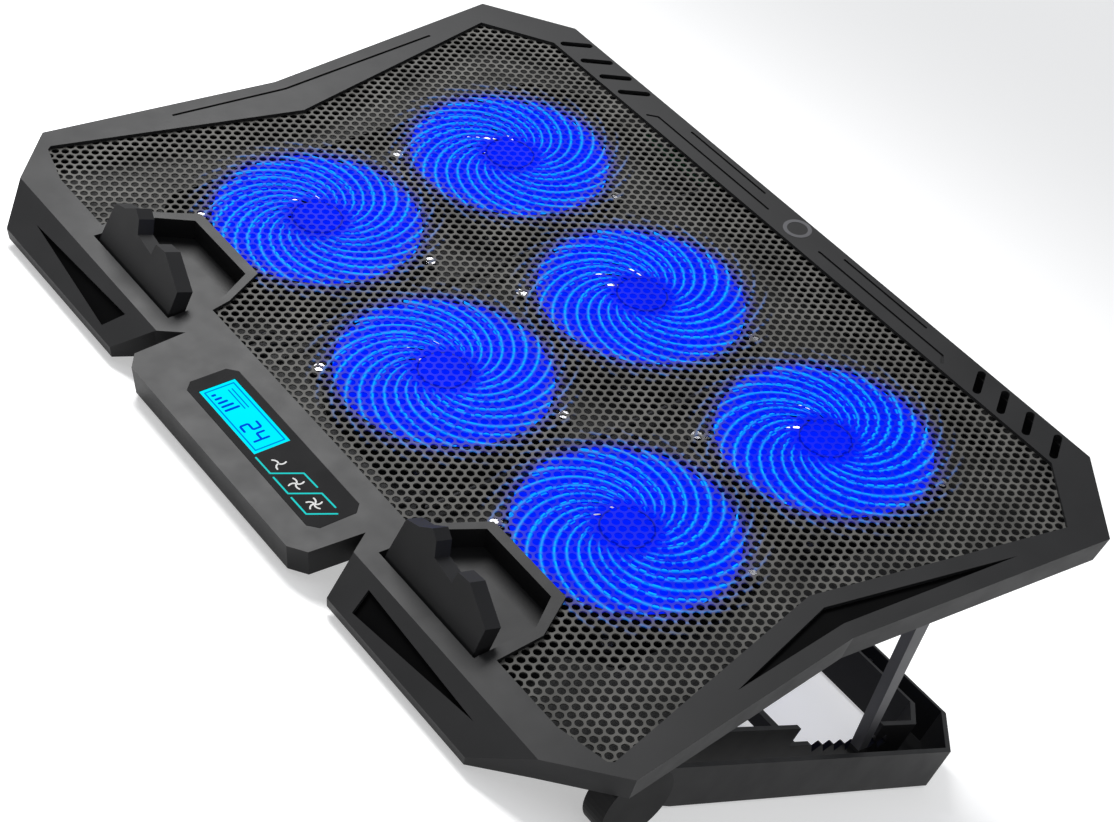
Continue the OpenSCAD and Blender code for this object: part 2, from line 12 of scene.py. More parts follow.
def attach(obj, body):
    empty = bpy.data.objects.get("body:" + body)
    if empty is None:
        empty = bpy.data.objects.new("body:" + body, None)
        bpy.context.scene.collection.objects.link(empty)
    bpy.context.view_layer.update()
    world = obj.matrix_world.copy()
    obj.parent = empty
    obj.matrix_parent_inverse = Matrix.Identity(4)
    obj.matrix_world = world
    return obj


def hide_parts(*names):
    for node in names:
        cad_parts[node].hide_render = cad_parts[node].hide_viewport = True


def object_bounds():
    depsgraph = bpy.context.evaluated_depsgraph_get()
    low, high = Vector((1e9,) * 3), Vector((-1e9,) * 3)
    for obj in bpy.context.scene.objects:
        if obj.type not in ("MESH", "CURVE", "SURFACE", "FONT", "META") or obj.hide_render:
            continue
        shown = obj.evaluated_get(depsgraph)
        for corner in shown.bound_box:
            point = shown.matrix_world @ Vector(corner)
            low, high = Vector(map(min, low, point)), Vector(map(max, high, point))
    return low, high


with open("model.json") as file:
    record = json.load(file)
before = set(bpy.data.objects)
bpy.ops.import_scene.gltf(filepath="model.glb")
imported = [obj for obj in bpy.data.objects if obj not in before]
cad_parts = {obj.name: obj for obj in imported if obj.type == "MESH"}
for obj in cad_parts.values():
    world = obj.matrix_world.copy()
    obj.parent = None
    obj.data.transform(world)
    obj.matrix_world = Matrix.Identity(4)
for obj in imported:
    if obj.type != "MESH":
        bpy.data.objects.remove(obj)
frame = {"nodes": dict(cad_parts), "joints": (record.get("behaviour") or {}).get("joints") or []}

cad_box = [list(corner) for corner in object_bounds()]
nodes = frame["nodes"]
joints = {j["name"]: j for j in frame["joints"]}
MM = 0.001

# ---- The view and the studio ----
# The pad stands on a white sweep and is seen from its front right, a little above it.
# A softbox hangs where the front left of the deck mirrors it, and two weak ones fill in.
CAMERA_AT = (0.5378, -0.7576, 0.3653)
CAMERA_TURN = (68.465, -30.297, 45.966)
LENS = 76.66

camera = bpy.data.objects.new("camera", bpy.data.cameras.new("camera"))
camera.data.lens = LENS
camera.data.clip_start = 0.05
camera.location = CAMERA_AT
camera.rotation_euler = [math.radians(a) for a in CAMERA_TURN]
bpy.context.scene.collection.objects.link(camera)
bpy.context.scene.camera = camera
bpy.context.scene.view_settings.view_transform = "Standard"


def softbox(name, at, size, power, target=(0, 0, 0.08)):
    lamp = bpy.data.lights.new(name, "AREA")
    lamp.shape = "RECTANGLE"
    lamp.size, lamp.size_y = size
    lamp.energy = power
    box = bpy.data.objects.new(name, lamp)
    box.location = at
    box.rotation_euler = (Vector(target) - Vector(at)).to_track_quat("-Z", "Y").to_euler()
    bpy.context.scene.collection.objects.link(box)


softbox("key", (-0.66, -0.24, 0.94), (0.66, 0.46), 22, (-0.03, -0.1, 0.05))
softbox("fill", (1.2, -1.1, 0.9), (1.2, 0.9), 1.1)
softbox("back", (0.5, 1.3, 1.2), (1.2, 0.8), 1.2)

world = bpy.data.worlds.new("studio")
bpy.context.scene.world = world
world.use_nodes = True
world.node_tree.nodes["Background"].inputs["Color"].default_value = (0.95, 0.97, 1.0, 1)
world.node_tree.nodes["Background"].inputs["Strength"].default_value = 0.5

floor_mesh = bpy.data.meshes.new("floor")
REACH = 9
floor_mesh.from_pydata([(-REACH, -REACH, 0), (REACH, -REACH, 0), (REACH, REACH, 0), (-REACH, REACH, 0)],
                       [], [(0, 1, 2, 3)])
floor = bpy.data.objects.new("floor", floor_mesh)
bpy.context.scene.collection.objects.link(floor)
paper = bpy.data.materials.new("paper")
paper.use_nodes = True
paper_shader = paper.node_tree.nodes["Principled BSDF"]
paper_shader.inputs["Base Color"].default_value = (0.7, 0.7, 0.7, 1)
paper_shader.inputs["Roughness"].default_value = 0.9
paper_shader.inputs["Emission Color"].default_value = (1, 1, 1, 1)
paper_shader.inputs["Emission Strength"].default_value = 0.45
floor_mesh.materials.append(paper)

# ---- Where the deck lies ----
# Pieces of the deck are drawn flat, in millimetres, as they lie on a bench: X to the right,
# Y to the back, Z out of the top face, which is at 0. DECK then tilts them on the hinge.
HINGE_Y = 10
HINGE_Z = -25
deck_normal = Vector(joints["fan_spin_1"]["axis"])
TILT = math.atan2(-deck_normal.y, deck_normal.z)
hinge = Vector(joints["deck_tilt"]["pos_m"])
DECK = (Matrix.Translation(hinge) @ Matrix.Rotation(TILT, 4, "X")
        @ Matrix.Translation(Vector((0, -HINGE_Y, -HINGE_Z)) * MM) @ Matrix.Scale(MM, 4))
FLAT = DECK.inverted()


def flat_point(place):
    """A place in the row frame, in metres, as it lies on the flat deck, in millimetres."""
    return FLAT @ Vector(place)


def piece(name, mesh, material, body="deck"):
    """A finished piece from a mesh that is already in its place."""
    mesh.materials.clear()
    mesh.materials.append(material)
    made = bpy.data.objects.new(name, mesh)
    bpy.context.scene.collection.objects.link(made)
    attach(made, body)
    return made


# ---- Moulded plastic ----
# The bezel and the stand are injection moulded in dark grey ABS. The mould is spark eroded,
# so the plastic has a fine even grain, a soft sheen and no paint.
PLASTIC = (0.011, 0.011, 0.0115)
# A darker plastic, for the lower cover and the brackets. On the lower cover it is partly painted shade:
# seen through the sheet's holes, it makes the space under the sheet read black.
PLASTIC_DARK = (0.005, 0.005, 0.0053)


def new_material(name):
    material = bpy.data.materials.new(name)
    material.use_nodes = True
    return material, material.node_tree, material.node_tree.nodes["Principled BSDF"]


def link(tree, a, b):
    tree.links.new(a, b)


def noise(tree, coordinates, scale, detail=3.0):
    node = tree.nodes.new("ShaderNodeTexNoise")
    node.inputs["Scale"].default_value = scale
    node.inputs["Detail"].default_value = detail
    link(tree, coordinates, node.inputs["Vector"])
    return node.outputs["Fac"]


def ramp(tree, factor, stops):
    node = tree.nodes.new("ShaderNodeValToRGB")
    for k, (position, colour) in enumerate(stops):
        element = node.color_ramp.elements[k] if k < 2 else node.color_ramp.elements.new(position)
        element.position = position
        element.color = (*colour, 1)
    link(tree, factor, node.inputs["Fac"])
    return node.outputs["Color"]


def bump(tree, shader, height, strength, distance):
    node = tree.nodes.new("ShaderNodeBump")
    node.inputs["Strength"].default_value = strength
    node.inputs["Distance"].default_value = distance
    link(tree, height, node.inputs["Height"])
    link(tree, node.outputs["Normal"], shader.inputs["Normal"])


def object_space(tree):
    return tree.nodes.new("ShaderNodeTexCoord").outputs["Object"]


def grained(name, colour, roughness=0.46, grain=1400, depth=0.00003, spread=0.12, metallic=0.0,
            gloss=0.14):
    """A moulded or painted surface: fine grain, slow drift of its tone, and uneven sheen."""
    material, tree, shader = new_material(name)
    shader.inputs["Specular IOR Level"].default_value = gloss
    space = object_space(tree)
    darker = tuple(c * (1 - spread) for c in colour)
    lighter = tuple(c * (1 + spread) for c in colour)
    link(tree, ramp(tree, noise(tree, space, 26, 4), [(0.35, darker), (0.65, lighter)]),
         shader.inputs["Base Color"])
    sheen = tree.nodes.new("ShaderNodeMapRange")
    sheen.inputs["To Min"].default_value = roughness - 0.06
    sheen.inputs["To Max"].default_value = roughness + 0.08
    link(tree, noise(tree, space, 90, 2), sheen.inputs["Value"])
    link(tree, sheen.outputs["Result"], shader.inputs["Roughness"])
    shader.inputs["Metallic"].default_value = metallic
    bump(tree, shader, noise(tree, space, grain, 2), 0.35, depth)
    return material


bezel_plastic = grained("bezel_plastic", PLASTIC)
dark_plastic = grained("dark_plastic", PLASTIC_DARK, 0.52)


WELD = 0.002
SAME_FACE = math.radians(0.7)
ARRIS = math.radians(25)


def long_edges(bm, shortest):
    """The sharp edges that are long enough to be a real arris and not a step of a curve."""
    return [e for e in bm.edges if len(e.link_faces) == 2 and e.calc_length() > shortest
            and e.calc_face_angle(0) > ARRIS]


def softened(node, name, material, body, width, shortest=4.0):
    """Stands for a moulded CAD node: its triangles joined to whole faces, its arrises rounded."""
    mesh = nodes[node].data.copy()
    mesh.name = name
    bm = bmesh.new()
    bm.from_mesh(mesh)
    bmesh.ops.remove_doubles(bm, verts=bm.verts, dist=WELD * MM)
    bmesh.ops.dissolve_limit(bm, angle_limit=SAME_FACE, verts=bm.verts, edges=bm.edges)
    bmesh.ops.bevel(bm, geom=long_edges(bm, shortest * MM), offset=width * MM, segments=2,
                    profile=0.5, affect="EDGES", clamp_overlap=True)
    bmesh.ops.triangulate(bm, faces=[f for f in bm.faces if len(f.verts) > 4])
    bm.to_mesh(mesh)
    bm.free()
    for polygon in mesh.polygons:
        polygon.use_smooth = False
    made = piece(name, mesh, material, body)
    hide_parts(node)
    return made


bezel = softened("top_bezel", "bezel", bezel_plastic, "deck", 0.5)
# The lower cover's darker plastic is partly painted shade for the dim space under the sheet.
cover = softened("bottom_cover", "lower_cover", dark_plastic, "deck", 0.4)
stand = softened("stand_frame", "stand_moulding", bezel_plastic, "stand", 0.5)
for node in ("hinge_brackets", "prop_brackets"):
    softened(node, node + "_moulding", dark_plastic, "deck", 0.5, 3.0)
nodes["stand_brace"].data.materials.clear()
nodes["stand_brace"].data.materials.append(bezel_plastic)

# ---- Glow of the fans ----
# Each fan is moulded in clear blue plastic and has small lamps at its rim. Their light is painted: the
# blades glow as emission, their edges as brighter painted rays, and a painted blue glow lies on the
# sheet's strands above the fan.
# Colours of the painted glow: BLUE for its fill, SKY for its brighter rays.
BLUE = (0.0, 0.012, 0.95)
SKY = (0.004, 0.27, 1.0)
HUB_R = 11.0
BLADE_R = 43.8
SPILL_R = 56.0
SWEEP = math.radians(101.48)
SWEEP_POWER = 0.9
BLADES = 11
LINE_SHARPNESS = 7.0
fan_nodes = sorted(n for n in nodes if n.startswith("fan_rotor_"))
fan_spots = [flat_point(joints["fan_spin_%d" % (k + 1)]["pos_m"]) for k in range(len(fan_nodes))]


def swirl(r):
    """How far a blade's edge has turned at radius r."""
    t = max(0.0, (r - HUB_R) / (BLADE_R - HUB_R))
    return SWEEP * t ** SWEEP_POWER


def math_node(tree, operation, a, b=None, c=None):
    node = tree.nodes.new("ShaderNodeMath")
    node.operation = operation
    for k, value in enumerate((a, b, c)):
        if value is None:
            continue
        if isinstance(value, (int, float)):
            node.inputs[k].default_value = value
        else:
            link(tree, value, node.inputs[k])
    return node.outputs[0]


def fan_polar(tree):
    """Radius in millimetres and angle about the nearest fan, from the map that a piece carries."""
    spread = tree.nodes.new("ShaderNodeUVMap")
    spread.uv_map = "fan_map"
    parts = tree.nodes.new("ShaderNodeSeparateXYZ")
    link(tree, spread.outputs["UV"], parts.inputs["Vector"])
    x, y = parts.outputs["X"], parts.outputs["Y"]
    square = math_node(tree, "ADD", math_node(tree, "MULTIPLY", x, x), math_node(tree, "MULTIPLY", y, y))
    return math_node(tree, "SQRT", square), math_node(tree, "ARCTAN2", y, x)


def swirl_line(tree, radius, angle, lines, sharpness):
    """1 on the curved rays that the blades' ribs draw, 0 between them."""
    t = math_node(tree, "DIVIDE", math_node(tree, "SUBTRACT", radius, HUB_R), BLADE_R - HUB_R)
    outwards = math_node(tree, "POWER", math_node(tree, "MAXIMUM", t, 0.0), SWEEP_POWER)
    turn = math_node(tree, "MULTIPLY", outwards, SWEEP)
    phase = math_node(tree, "MULTIPLY", math_node(tree, "SUBTRACT", angle, turn), lines)
    wave = math_node(tree, "MULTIPLY_ADD", math_node(tree, "COSINE", phase), 0.5, 0.5)
    return math_node(tree, "POWER", wave, sharpness)


def smooth_step(tree, value, low, high):
    node = tree.nodes.new("ShaderNodeMapRange")
    node.interpolation_type = "SMOOTHSTEP"
    node.inputs["From Min"].default_value = low
    node.inputs["From Max"].default_value = high
    link(tree, value, node.inputs["Value"])
    return node.outputs["Result"]


def painted_fan_glow(tree, shader, fill_from, fill_to, fill_power, line_power):
    """Painted blue glow round a fan, as emission, with brighter painted rays and a thin ring of painted
    shade round the hub.
    """
    radius, angle = fan_polar(tree)
    past_hub = smooth_step(tree, radius, HUB_R + 1, HUB_R + 7)
    line = math_node(tree, "MULTIPLY", swirl_line(tree, radius, angle, 2 * BLADES, LINE_SHARPNESS),
                     past_hub)
    colour = tree.nodes.new("ShaderNodeMix")
    colour.data_type = "RGBA"
    colour.inputs["A"].default_value = (*BLUE, 1)
    colour.inputs["B"].default_value = (*SKY, 1)
    link(tree, line, colour.inputs["Factor"])
    link(tree, colour.outputs["Result"], shader.inputs["Emission Color"])
    fill = smooth_step(tree, radius, fill_from, fill_to)
    # A thin ring of painted shade round the hub, where the painted glow is dimmed.
    off_ring = math_node(tree, "ABSOLUTE", math_node(tree, "SUBTRACT", radius, HUB_R - 0.5))
    ring = math_node(tree, "MULTIPLY_ADD", smooth_step(tree, off_ring, 0.15, 0.6), 0.55, 0.45)
    drift = math_node(tree, "MULTIPLY_ADD", noise(tree, object_space(tree), 55, 2), 0.5, 0.72)
    glow = math_node(tree, "MULTIPLY", math_node(tree, "MULTIPLY", fill, ring), fill_power)
    rays = math_node(tree, "MULTIPLY", math_node(tree, "MULTIPLY", line, line_power),
                     smooth_step(tree, radius, SPILL_R, SPILL_R - 7))
    link(tree, math_node(tree, "MULTIPLY", math_node(tree, "ADD", glow, rays), drift),
         shader.inputs["Emission Strength"])
    return fill


def map_to_fans(mesh, spots):
    """Writes each face's place from its nearest spot, in millimetres, as a map."""
    layer = mesh.uv_layers.new(name="fan_map")
    count = len(mesh.loops)
    at = np.empty(len(mesh.vertices) * 3)
    mesh.vertices.foreach_get("co", at)
    at = at.reshape(-1, 3)
    corner = np.empty(count, int)
    mesh.loops.foreach_get("vertex_index", corner)
    flat = at @ np.array(FLAT.to_3x3()).T + np.array(FLAT.translation)
    middle = np.empty((len(mesh.polygons), 2))
    face_of = np.empty(count, int)
    for polygon in mesh.polygons:
        loops = list(polygon.loop_indices)
        face_of[loops] = polygon.index
        middle[polygon.index] = flat[corner[loops], :2].mean(0)
    hubs = np.array([[s.x, s.y] for s in spots])
    nearest = hubs[((middle[:, None] - hubs[None]) ** 2).sum(2).argmin(1)]
    layer.data.foreach_set("uv", (flat[corner, :2] - nearest[face_of]).ravel())


# ---- Perforated sheet ----
# A thin steel sheet, punched all over with round-cornered hexagonal holes and painted satin
# dark grey, is glued under the bezel. It is made in two halves that meet in the middle.
PITCH = 4.13
HOLE_R = 1.62
SHEET_LAP = 2.2
HALF_W = cad_box[1][0] / MM
SHEET_TOP = -1.6
SHEET_T = 0.6
BACK_Y = 260.4
STOP_X = 102.5


def opening_outline():
    """The bezel's opening, from the front's middle round the right side to the back's middle."""
    right = [(STOP_X - 33, 2.5), (STOP_X - 31.1, 11.4), (STOP_X - 21.6, 30.4), (STOP_X + 22, 30.4),
             (STOP_X + 32.8, 12.2), (STOP_X + 33.9, -9), (HALF_W - 34.3, -9), (HALF_W - 13.5, -3.6),
             (HALF_W - 12, -1.5), (HALF_W - 36.5, BACK_Y - 151.7), (HALF_W - 13, BACK_Y - 38.1),
             (HALF_W - 41.8, BACK_Y - 16.8)]
    return right + [(-x, y) for x, y in reversed(right)]


def grown(outline, by):
    """The outline moved outwards by a distance, its corners kept sharp."""
    out = []
    count = len(outline)
    for k in range(count):
        before, here, after = (Vector(outline[(k + d) % count]) for d in (-1, 0, 1))
        a, b = (here - before).normalized(), (after - here).normalized()
        na, nb = Vector((a.y, -a.x)), Vector((b.y, -b.x))
        out.append(here + (na + nb) * by / (1 + na.dot(nb)))
    return out


def flat_face(name, outline):
    mesh = bpy.data.meshes.new(name)
    mesh.from_pydata([(x, y, 0) for x, y in outline], [], [range(len(outline))])
    made = bpy.data.objects.new(name, mesh)
    bpy.context.scene.collection.objects.link(made)
    return made


def sheet_cell():
    """One hexagon of the sheet round its hole, as thick as the sheet."""
    bm = bmesh.new()
    steps = 12
    rings = []
    for z in (0, -SHEET_T):
        rim = []
        hole = []
        for k in range(steps):
            a = math.tau * k / steps
            reach = PITCH / 2 if k % 2 == 0 else PITCH / math.sqrt(3)
            squeeze = HOLE_R * (1.0 if k % 2 == 0 else 1.035)
            rim.append(bm.verts.new((reach * math.cos(a), reach * math.sin(a), z)))
            hole.append(bm.verts.new((squeeze * math.cos(a), squeeze * math.sin(a), z)))
        rings.append((rim, hole))
    (top_rim, top_hole), (low_rim, low_hole) = rings
    for k in range(steps):
        n = (k + 1) % steps
        bm.faces.new((top_rim[k], top_rim[n], top_hole[n], top_hole[k]))
        bm.faces.new((top_hole[k], top_hole[n], low_hole[n], low_hole[k]))
        bm.faces.new((low_rim[n], low_rim[k], low_hole[k], low_hole[n]))
    mesh = bpy.data.meshes.new("sheet_cell")
    bm.to_mesh(mesh)
    bm.free()
    made = bpy.data.objects.new("sheet_cell", mesh)
    bpy.context.scene.collection.objects.link(made)
    return made


def node_tree(name, sockets):
    """A geometry tree with one geometry in, one out, and the named inputs."""
    tree = bpy.data.node_groups.new(name, "GeometryNodeTree")
    tree.interface.new_socket(name="Geometry", in_out="INPUT", socket_type="NodeSocketGeometry")
    for label, kind in sockets:
        tree.interface.new_socket(name=label, in_out="INPUT", socket_type="NodeSocket" + kind)
    tree.interface.new_socket(name="Geometry", in_out="OUTPUT", socket_type="NodeSocketGeometry")
    return tree, tree.nodes.new("NodeGroupInput"), tree.nodes.new("NodeGroupOutput")


def add(tree, kind, inputs=None, **settings):
    """A node with its settings, and its inputs set to values or linked to other outputs."""
    node = tree.nodes.new(kind)
    for key, value in settings.items():
        setattr(node, key, value)
    for key, value in (inputs or {}).items():
        if isinstance(value, bpy.types.NodeSocket):
            tree.links.new(value, node.inputs[key])
        else:
            node.inputs[key].default_value = value
    return node


def grow(name, tree, values, material):
    """Runs a tree on an empty mesh and gives back its result as a plain mesh."""
    host = bpy.data.objects.new(name, bpy.data.meshes.new(name + "_seed"))
    bpy.context.scene.collection.objects.link(host)
    modifier = host.modifiers.new("grow", "NODES")
    modifier.node_group = tree
    for item in tree.interface.items_tree:
        if item.in_out == "INPUT" and item.name in values:
            modifier[item.identifier] = values[item.name]
    bpy.context.view_layer.update()
    graph = bpy.context.evaluated_depsgraph_get()
    mesh = bpy.data.meshes.new_from_object(host.evaluated_get(graph))
    mesh.name = name
    bpy.data.objects.remove(host)
    mesh.materials.clear()
    mesh.materials.append(material)
    return mesh


def perforation_tree():
    """Lays cells on a hexagonal lattice and keeps those whose middle is on the outline's face."""
    tree, given, result = node_tree("perforations", [
        ("Outline", "Object"), ("Cell", "Object"), ("Pitch", "Float"), ("Columns", "Int"),
        ("Rows", "Int"), ("Start", "Vector"), ("Material", "Material")])
    pitch = given.outputs["Pitch"]
    row_step = add(tree, "ShaderNodeMath", {0: pitch, 1: math.sqrt(3) / 2},
                   operation="MULTIPLY").outputs[0]
    count = add(tree, "ShaderNodeMath", {0: given.outputs["Columns"], 1: given.outputs["Rows"]},
                operation="MULTIPLY").outputs[0]
    points = add(tree, "GeometryNodePoints", {"Count": count})
    index = tree.nodes.new("GeometryNodeInputIndex").outputs[0]
    columns = given.outputs["Columns"]
    column = add(tree, "ShaderNodeMath", {0: index, 1: columns}, operation="MODULO").outputs[0]
    over = add(tree, "ShaderNodeMath", {0: index, 1: columns}, operation="DIVIDE").outputs[0]
    row = add(tree, "ShaderNodeMath", {0: over}, operation="FLOOR").outputs[0]
    odd = add(tree, "ShaderNodeMath", {0: row, 1: 2.0}, operation="MODULO").outputs[0]
    step = add(tree, "ShaderNodeMath", {0: odd, 1: 0.5, 2: column}, operation="MULTIPLY_ADD").outputs[0]
    x = add(tree, "ShaderNodeMath", {0: step, 1: pitch}, operation="MULTIPLY").outputs[0]
    y = add(tree, "ShaderNodeMath", {0: row, 1: row_step}, operation="MULTIPLY").outputs[0]
    place = add(tree, "ShaderNodeCombineXYZ", {"X": x, "Y": y})
    at = add(tree, "ShaderNodeVectorMath", {0: place.outputs[0], 1: given.outputs["Start"]},
             operation="ADD")
    laid = add(tree, "GeometryNodeSetPosition",
               {"Geometry": points.outputs[0], "Position": at.outputs[0]})
    outline = add(tree, "GeometryNodeObjectInfo", {"Object": given.outputs["Outline"]})
    above = add(tree, "ShaderNodeVectorMath", {0: at.outputs[0], 1: (0.0, 0.0, 5.0)}, operation="ADD")
    ray = add(tree, "GeometryNodeRaycast", {"Target Geometry": outline.outputs["Geometry"],
                                            "Source Position": above.outputs[0],
                                            "Ray Direction": (0.0, 0.0, -1.0), "Ray Length": 50.0})
    outside = add(tree, "FunctionNodeBooleanMath", {0: ray.outputs["Is Hit"]}, operation="NOT")
    kept = add(tree, "GeometryNodeDeleteGeometry",
               {"Geometry": laid.outputs[0], "Selection": outside.outputs[0]})
    cell = add(tree, "GeometryNodeObjectInfo", {"Object": given.outputs["Cell"]})
    cells = add(tree, "GeometryNodeInstanceOnPoints",
                {"Points": kept.outputs[0], "Instance": cell.outputs["Geometry"]})
    real = add(tree, "GeometryNodeRealizeInstances", {"Geometry": cells.outputs[0]})
    joined = add(tree, "GeometryNodeMergeByDistance", {"Geometry": real.outputs[0], "Distance": 0.02})
    painted = add(tree, "GeometryNodeSetMaterial",
                  {"Geometry": joined.outputs[0], "Material": given.outputs["Material"]})
    tree.links.new(painted.outputs[0], result.inputs[0])
    return tree


def sheet_paint_and_glow():
    """Satin dark paint on steel, with a painted blue glow from the fans near them, as emission."""
    material, tree, shader = new_material("sheet_paint_and_glow")
    space = object_space(tree)
    paint = ramp(tree, noise(tree, space, 60, 3),
                 [(0.3, (0.052, 0.051, 0.048)), (0.7, (0.090, 0.088, 0.083))])
    shader.inputs["Specular IOR Level"].default_value = 0.04
    shader.inputs["Roughness"].default_value = 0.5
    bump(tree, shader, noise(tree, space, 2600, 2), 0.25, 0.00002)
    painted_glow_fill = painted_fan_glow(tree, shader, SPILL_R - 5, BLADE_R - 9, 0.9, 0.3)
    # Under the painted glow the paint is taken nearly to black blue, so the painted glow alone colours
    # the strands there.
    shaded = tree.nodes.new("ShaderNodeMix")
    shaded.data_type = "RGBA"
    shaded.inputs["B"].default_value = (0.0, 0.001, 0.02, 1)
    link(tree, painted_glow_fill, shaded.inputs["Factor"])
    link(tree, paint, shaded.inputs["A"])
    link(tree, shaded.outputs["Result"], shader.inputs["Base Color"])
    return material


# The painted rays of glow on the strands are moved towards the front right. From there they meet the
# beads below them; from the back they don't.
RAY_SHIFT = Vector((2.0, -1.9, 0))
sheet_steel = sheet_paint_and_glow()
outline = grown(opening_outline(), SHEET_LAP)
cell = sheet_cell()
perforations = perforation_tree()
ROW = PITCH * math.sqrt(3) / 2
half_columns = int(HALF_W / PITCH) + 1
sheet_front = min(y for x, y in outline)
row_count = int((max(y for x, y in outline) - sheet_front) / ROW) + 2
for side in (-1, 1):
    clipped = flat_face("sheet_outline", outline)
    start_x = 0.25 * PITCH if side > 0 else 0.25 * PITCH - half_columns * PITCH
    values = {"Outline": clipped, "Cell": cell, "Pitch": PITCH, "Columns": half_columns,
              "Rows": row_count, "Start": (start_x, sheet_front, SHEET_TOP), "Material": sheet_steel}
    name = "sheet_right" if side > 0 else "sheet_left"
    mesh = grow(name, perforations, values, sheet_steel)
    bpy.data.objects.remove(clipped)
    mesh.transform(DECK)
    map_to_fans(mesh, [spot + RAY_SHIFT for spot in fan_spots])
    half = piece(name, mesh, sheet_steel)
    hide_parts("mesh_panel")
bpy.data.objects.remove(cell)

# ---- Fan rotors ----
# Each rotor is one moulding of clear blue plastic: a hub cap and eleven swept blades. Each blade has a
# bead along its front edge and another half way back; the lamps' light caught in the beads is a brighter
# painted glow.
ROTOR_TOP = -3.1
BLADE_SPAN = math.radians(46)
BEAD_STEP = math.tau / (2 * BLADES)
BLADE_FALL = 4.0
BLADE_T = 0.9
EDGE_R = 0.55


def painted_glow_plastic(name, fill_power, line_power):
    """Clear blue plastic with a painted glow as emission, brighter along the painted rays."""
    material, tree, shader = new_material(name)
    shader.inputs["Base Color"].default_value = (0.0, 0.004, 0.12, 1)
    shader.inputs["Roughness"].default_value = 0.6
    shader.inputs["Specular IOR Level"].default_value = 0.0
    painted_fan_glow(tree, shader, SPILL_R + 20, SPILL_R + 10, fill_power, line_power)
    return material


# Painted glow for the blades, the beads and the hub; the beads' painted rays are the brightest.
blade_blue = painted_glow_plastic("blade_blue", 1.0, 0.35)
bead_blue = painted_glow_plastic("bead_blue", 0.9, 0.9)
hub_blue = painted_glow_plastic("hub_blue", 1.0, 0.0)


def blade_object(beads_only):
    """One blade about the fan's middle, or only the two beads along its edges."""
    bm = bmesh.new()
    steps = 18
    radii = [HUB_R - 0.6 + (BLADE_R - HUB_R + 0.6) * k / steps for k in range(steps + 1)]

    def at(r, across, drop=0.0):
        angle = swirl(r) - BLADE_SPAN * across
        fall = BLADE_FALL * across ** 1.8 + drop
        return Vector((r * math.cos(angle), r * math.sin(angle), ROTOR_TOP - EDGE_R - fall))

    if beads_only:
        for across in (0.0, BEAD_STEP / BLADE_SPAN):
            rings = []
            for r in radii:
                middle = at(r, across)
                along = (at(r + 0.1, across) - middle).normalized()
                side = along.cross(Vector((0, 0, 1))).normalized()
                up = side.cross(along)
                size = EDGE_R * (0.55 + 0.45 * math.sin(math.pi * min(1, (r - HUB_R + 2) / 30)))
                rings.append([bm.verts.new(middle + (side * math.cos(a) + up * math.sin(a)) * size)
                              for a in (math.tau * k / 6 for k in range(6))])
            for a, b in zip(rings, rings[1:]):
                for k in range(6):
                    bm.faces.new((a[k], a[(k + 1) % 6], b[(k + 1) % 6], b[k]))
            bm.faces.new(rings[0])
            bm.faces.new(list(reversed(rings[-1])))
    else:
        widths = 5
        layers = [[[bm.verts.new(at(r, w / widths, drop)) for w in range(widths + 1)] for r in radii]
                  for drop in (0, BLADE_T)]
        for top in (0, 1):
            grid = layers[top]
            for i in range(steps):
                for j in range(widths):
                    loop = (grid[i][j], grid[i][j + 1], grid[i + 1][j + 1], grid[i + 1][j])
                    bm.faces.new(loop if top else tuple(reversed(loop)))
        border = ([(i, 0) for i in range(steps + 1)] + [(steps, j) for j in range(1, widths + 1)]
                  + [(i, widths) for i in range(steps - 1, -1, -1)]
                  + [(0, j) for j in range(widths - 1, 0, -1)])
        for (i, j), (k, l) in zip(border, border[1:] + border[:1]):
            bm.faces.new((layers[0][i][j], layers[0][k][l], layers[1][k][l], layers[1][i][j]))
    bmesh.ops.recalc_face_normals(bm, faces=bm.faces)
    mesh = bpy.data.meshes.new("blade")
    bm.to_mesh(mesh)
    bm.free()
    made = bpy.data.objects.new("blade", mesh)
    bpy.context.scene.collection.objects.link(made)
    return made


def ring_tree():
    """Repeats an object evenly round the Z axis."""
    tree, given, result = node_tree("round_array", [
        ("Shape", "Object"), ("Count", "Int"), ("Material", "Material")])
    points = add(tree, "GeometryNodePoints", {"Count": given.outputs["Count"]})
    index = tree.nodes.new("GeometryNodeInputIndex").outputs[0]
    step = add(tree, "ShaderNodeMath", {0: math.tau, 1: given.outputs["Count"]},
               operation="DIVIDE").outputs[0]
    turn = add(tree, "ShaderNodeMath", {0: index, 1: step}, operation="MULTIPLY").outputs[0]
    rotation = add(tree, "ShaderNodeCombineXYZ", {"Z": turn})
    shape = add(tree, "GeometryNodeObjectInfo", {"Object": given.outputs["Shape"]})
    copies = add(tree, "GeometryNodeInstanceOnPoints", {"Points": points.outputs[0],
                                                        "Instance": shape.outputs["Geometry"],
                                                        "Rotation": rotation.outputs[0]})
    real = add(tree, "GeometryNodeRealizeInstances", {"Geometry": copies.outputs[0]})
    painted = add(tree, "GeometryNodeSetMaterial",
                  {"Geometry": real.outputs[0], "Material": given.outputs["Material"]})
    tree.links.new(painted.outputs[0], result.inputs[0])
    return tree


def turned(name, profile, steps=64):
    """A closed solid of revolution about Z from a profile of (radius, height)."""
    bm = bmesh.new()
    rings = [[bm.verts.new((r * math.cos(math.tau * k / steps), r * math.sin(math.tau * k / steps), z))
              for k in range(steps)] if r > 0 else [bm.verts.new((0, 0, z))] for r, z in profile]
    for a, b in zip(rings, rings[1:]):
        for k in range(steps):
            n = (k + 1) % steps
            loop = [a[k % len(a)], a[n % len(a)], b[n % len(b)], b[k % len(b)]]
            loop = [v for i, v in enumerate(loop) if v not in loop[:i]]
            if len(loop) > 2:
                bm.faces.new(loop)
    bmesh.ops.recalc_face_normals(bm, faces=bm.faces)
    mesh = bpy.data.meshes.new(name)
    bm.to_mesh(mesh)
    bm.free()
    return mesh


